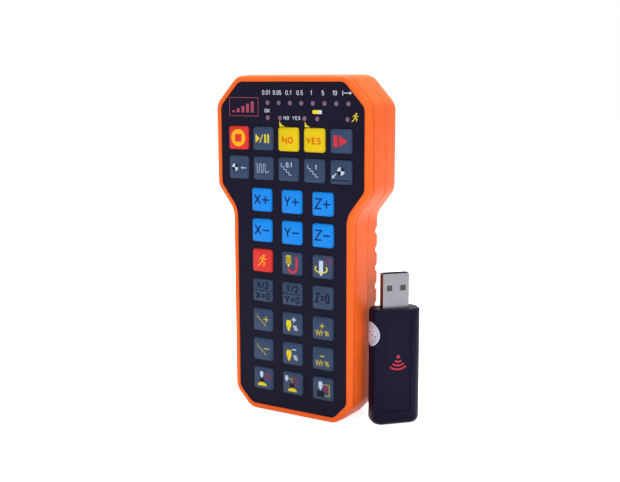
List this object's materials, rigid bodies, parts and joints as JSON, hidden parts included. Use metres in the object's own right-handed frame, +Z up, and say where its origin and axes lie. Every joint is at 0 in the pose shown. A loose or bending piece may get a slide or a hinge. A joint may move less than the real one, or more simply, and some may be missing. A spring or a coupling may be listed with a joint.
{
  "type": "wireless machine control keypad with plug-in receiver",
  "caption": "Hand-held machine control keypad with a waisted case, rubber keys, indicator lights and a hinged battery door, with its plug-in radio receiver standing beside it.",
  "frame": {"origin": "centre of the flat foot of the keypad case", "axes": "+Z up along the case, -Y the way the keys face, +X to the right as seen from the front"},
  "size_m": [0.0906, 0.028, 0.1503],
  "materials": {
    "case_plastic": "fine satin moulded ABS",
    "face_film": "printed polyester film, satin",
    "mat_rubber": "silicone, matt",
    "key_red": "silicone, matt",
    "key_yellow": "silicone, matt",
    "key_blue": "silicone, matt",
    "key_slate": "silicone, matt",
    "board": "solder mask",
    "lens": "diffused lens",
    "chip": "moulded package",
    "bright_can": "plated can",
    "module": "solder mask",
    "cell_can": "sleeved cell",
    "spring_wire": "nickel plated",
    "screw_steel": "black oxide",
    "receiver_plastic": "satin moulded ABS",
    "plug_steel": "stamped, nickel plated",
    "tongue_plastic": "moulded insulator",
    "contact_brass": "plated spring contacts",
    "seal_paper": "blank paper seal"
  },
  "bodies": {
    "keypad": {"front_shell": "case_plastic", "rear_shell": "case_plastic", "face_sheet": "face_film", "keypad_mat": "mat_rubber", "circuit_board": "board", "indicator_lights": "lens", "microcontroller": "chip", "crystal": "bright_can", "radio_module": "module", "battery_cells": "cell_can", "battery_springs": "spring_wire", "battery_contacts": "spring_wire", "case_screws": "screw_steel", "board_screws": "screw_steel"},
    "key_stop": {"key_stop": "key_red"},
    "key_start": {"key_start": "key_slate"},
    "key_no": {"key_no": "key_yellow"},
    "key_yes": {"key_yes": "key_yellow"},
    "key_reset": {"key_reset": "key_slate"},
    "key_home": {"key_home": "key_slate"},
    "key_wave": {"key_wave": "key_slate"},
    "key_step_tenth": {"key_step_tenth": "key_slate"},
    "key_step_one": {"key_step_one": "key_slate"},
    "key_goto": {"key_goto": "key_slate"},
    "key_x_plus": {"key_x_plus": "key_blue"},
    "key_y_plus": {"key_y_plus": "key_blue"},
    "key_z_plus": {"key_z_plus": "key_blue"},
    "key_x_minus": {"key_x_minus": "key_blue"},
    "key_y_minus": {"key_y_minus": "key_blue"},
    "key_z_minus": {"key_z_minus": "key_blue"},
    "key_run": {"key_run": "key_red"},
    "key_spindle": {"key_spindle": "key_slate"},
    "key_tool": {"key_tool": "key_slate"},
    "key_half_x": {"key_half_x": "key_slate"},
    "key_half_y": {"key_half_y": "key_slate"},
    "key_zero_z": {"key_zero_z": "key_slate"},
    "key_step_up": {"key_step_up": "key_slate"},
    "key_speed_up": {"key_speed_up": "key_slate"},
    "key_feed_up": {"key_feed_up": "key_slate"},
    "key_step_down": {"key_step_down": "key_slate"},
    "key_speed_down": {"key_speed_down": "key_slate"},
    "key_feed_down": {"key_feed_down": "key_slate"},
    "key_probe_a": {"key_probe_a": "key_slate"},
    "key_probe_b": {"key_probe_b": "key_slate"},
    "key_probe_c": {"key_probe_c": "key_slate"},
    "door": {"battery_door": "case_plastic"},
    "receiver": {"receiver_front": "receiver_plastic", "receiver_rear": "receiver_plastic", "receiver_board": "board", "receiver_chip": "chip", "plug_shell": "plug_steel", "plug_tongue": "tongue_plastic", "plug_contacts": "contact_brass", "receiver_seal": "seal_paper"}
  },
  "joints": [
    {"name": "battery_door_hinge", "type": "hinge", "parent": "keypad", "child": "door", "pos_m": [0, 0.0122, 0.0214], "axis": [-1, 0, 0], "range_deg": [0, 80]},
    {"name": "receiver_slide", "type": "slide", "parent": "keypad", "child": "receiver", "axis": [1, 0, 0], "range_m": [0, 0.08]},
    {"name": "key_stop_press", "type": "slide", "parent": "keypad", "child": "key_stop", "axis": [0, 1, 0], "range_m": [0, 0.0008], "stiffness_N_per_m": 400, "springref_m": -0.001},
    {"name": "key_start_press", "type": "slide", "parent": "keypad", "child": "key_start", "axis": [0, 1, 0], "range_m": [0, 0.0008], "stiffness_N_per_m": 400, "springref_m": -0.001},
    {"name": "key_no_press", "type": "slide", "parent": "keypad", "child": "key_no", "axis": [0, 1, 0], "range_m": [0, 0.0008], "stiffness_N_per_m": 400, "springref_m": -0.001},
    {"name": "key_yes_press", "type": "slide", "parent": "keypad", "child": "key_yes", "axis": [0, 1, 0], "range_m": [0, 0.0008], "stiffness_N_per_m": 400, "springref_m": -0.001},
    {"name": "key_reset_press", "type": "slide", "parent": "keypad", "child": "key_reset", "axis": [0, 1, 0], "range_m": [0, 0.0008], "stiffness_N_per_m": 400, "springref_m": -0.001},
    {"name": "key_home_press", "type": "slide", "parent": "keypad", "child": "key_home", "axis": [0, 1, 0], "range_m": [0, 0.0008], "stiffness_N_per_m": 400, "springref_m": -0.001},
    {"name": "key_wave_press", "type": "slide", "parent": "keypad", "child": "key_wave", "axis": [0, 1, 0], "range_m": [0, 0.0008], "stiffness_N_per_m": 400, "springref_m": -0.001},
    {"name": "key_step_tenth_press", "type": "slide", "parent": "keypad", "child": "key_step_tenth", "axis": [0, 1, 0], "range_m": [0, 0.0008], "stiffness_N_per_m": 400, "springref_m": -0.001},
    {"name": "key_step_one_press", "type": "slide", "parent": "keypad", "child": "key_step_one", "axis": [0, 1, 0], "range_m": [0, 0.0008], "stiffness_N_per_m": 400, "springref_m": -0.001},
    {"name": "key_goto_press", "type": "slide", "parent": "keypad", "child": "key_goto", "axis": [0, 1, 0], "range_m": [0, 0.0008], "stiffness_N_per_m": 400, "springref_m": -0.001},
    {"name": "key_x_plus_press", "type": "slide", "parent": "keypad", "child": "key_x_plus", "axis": [0, 1, 0], "range_m": [0, 0.0008], "stiffness_N_per_m": 400, "springref_m": -0.001},
    {"name": "key_y_plus_press", "type": "slide", "parent": "keypad", "child": "key_y_plus", "axis": [0, 1, 0], "range_m": [0, 0.0008], "stiffness_N_per_m": 400, "springref_m": -0.001},
    {"name": "key_z_plus_press", "type": "slide", "parent": "keypad", "child": "key_z_plus", "axis": [0, 1, 0], "range_m": [0, 0.0008], "stiffness_N_per_m": 400, "springref_m": -0.001},
    {"name": "key_x_minus_press", "type": "slide", "parent": "keypad", "child": "key_x_minus", "axis": [0, 1, 0], "range_m": [0, 0.0008], "stiffness_N_per_m": 400, "springref_m": -0.001},
    {"name": "key_y_minus_press", "type": "slide", "parent": "keypad", "child": "key_y_minus", "axis": [0, 1, 0], "range_m": [0, 0.0008], "stiffness_N_per_m": 400, "springref_m": -0.001},
    {"name": "key_z_minus_press", "type": "slide", "parent": "keypad", "child": "key_z_minus", "axis": [0, 1, 0], "range_m": [0, 0.0008], "stiffness_N_per_m": 400, "springref_m": -0.001},
    {"name": "key_run_press", "type": "slide", "parent": "keypad", "child": "key_run", "axis": [0, 1, 0], "range_m": [0, 0.0008], "stiffness_N_per_m": 400, "springref_m": -0.001},
    {"name": "key_spindle_press", "type": "slide", "parent": "keypad", "child": "key_spindle", "axis": [0, 1, 0], "range_m": [0, 0.0008], "stiffness_N_per_m": 400, "springref_m": -0.001},
    {"name": "key_tool_press", "type": "slide", "parent": "keypad", "child": "key_tool", "axis": [0, 1, 0], "range_m": [0, 0.0008], "stiffness_N_per_m": 400, "springref_m": -0.001},
    {"name": "key_half_x_press", "type": "slide", "parent": "keypad", "child": "key_half_x", "axis": [0, 1, 0], "range_m": [0, 0.0008], "stiffness_N_per_m": 400, "springref_m": -0.001},
    {"name": "key_half_y_press", "type": "slide", "parent": "keypad", "child": "key_half_y", "axis": [0, 1, 0], "range_m": [0, 0.0008], "stiffness_N_per_m": 400, "springref_m": -0.001},
    {"name": "key_zero_z_press", "type": "slide", "parent": "keypad", "child": "key_zero_z", "axis": [0, 1, 0], "range_m": [0, 0.0008], "stiffness_N_per_m": 400, "springref_m": -0.001},
    {"name": "key_step_up_press", "type": "slide", "parent": "keypad", "child": "key_step_up", "axis": [0, 1, 0], "range_m": [0, 0.0008], "stiffness_N_per_m": 400, "springref_m": -0.001},
    {"name": "key_speed_up_press", "type": "slide", "parent": "keypad", "child": "key_speed_up", "axis": [0, 1, 0], "range_m": [0, 0.0008], "stiffness_N_per_m": 400, "springref_m": -0.001},
    {"name": "key_feed_up_press", "type": "slide", "parent": "keypad", "child": "key_feed_up", "axis": [0, 1, 0], "range_m": [0, 0.0008], "stiffness_N_per_m": 400, "springref_m": -0.001},
    {"name": "key_step_down_press", "type": "slide", "parent": "keypad", "child": "key_step_down", "axis": [0, 1, 0], "range_m": [0, 0.0008], "stiffness_N_per_m": 400, "springref_m": -0.001},
    {"name": "key_speed_down_press", "type": "slide", "parent": "keypad", "child": "key_speed_down", "axis": [0, 1, 0], "range_m": [0, 0.0008], "stiffness_N_per_m": 400, "springref_m": -0.001},
    {"name": "key_feed_down_press", "type": "slide", "parent": "keypad", "child": "key_feed_down", "axis": [0, 1, 0], "range_m": [0, 0.0008], "stiffness_N_per_m": 400, "springref_m": -0.001},
    {"name": "key_probe_a_press", "type": "slide", "parent": "keypad", "child": "key_probe_a", "axis": [0, 1, 0], "range_m": [0, 0.0008], "stiffness_N_per_m": 400, "springref_m": -0.001},
    {"name": "key_probe_b_press", "type": "slide", "parent": "keypad", "child": "key_probe_b", "axis": [0, 1, 0], "range_m": [0, 0.0008], "stiffness_N_per_m": 400, "springref_m": -0.001},
    {"name": "key_probe_c_press", "type": "slide", "parent": "keypad", "child": "key_probe_c", "axis": [0, 1, 0], "range_m": [0, 0.0008], "stiffness_N_per_m": 400, "springref_m": -0.001}
  ]
}
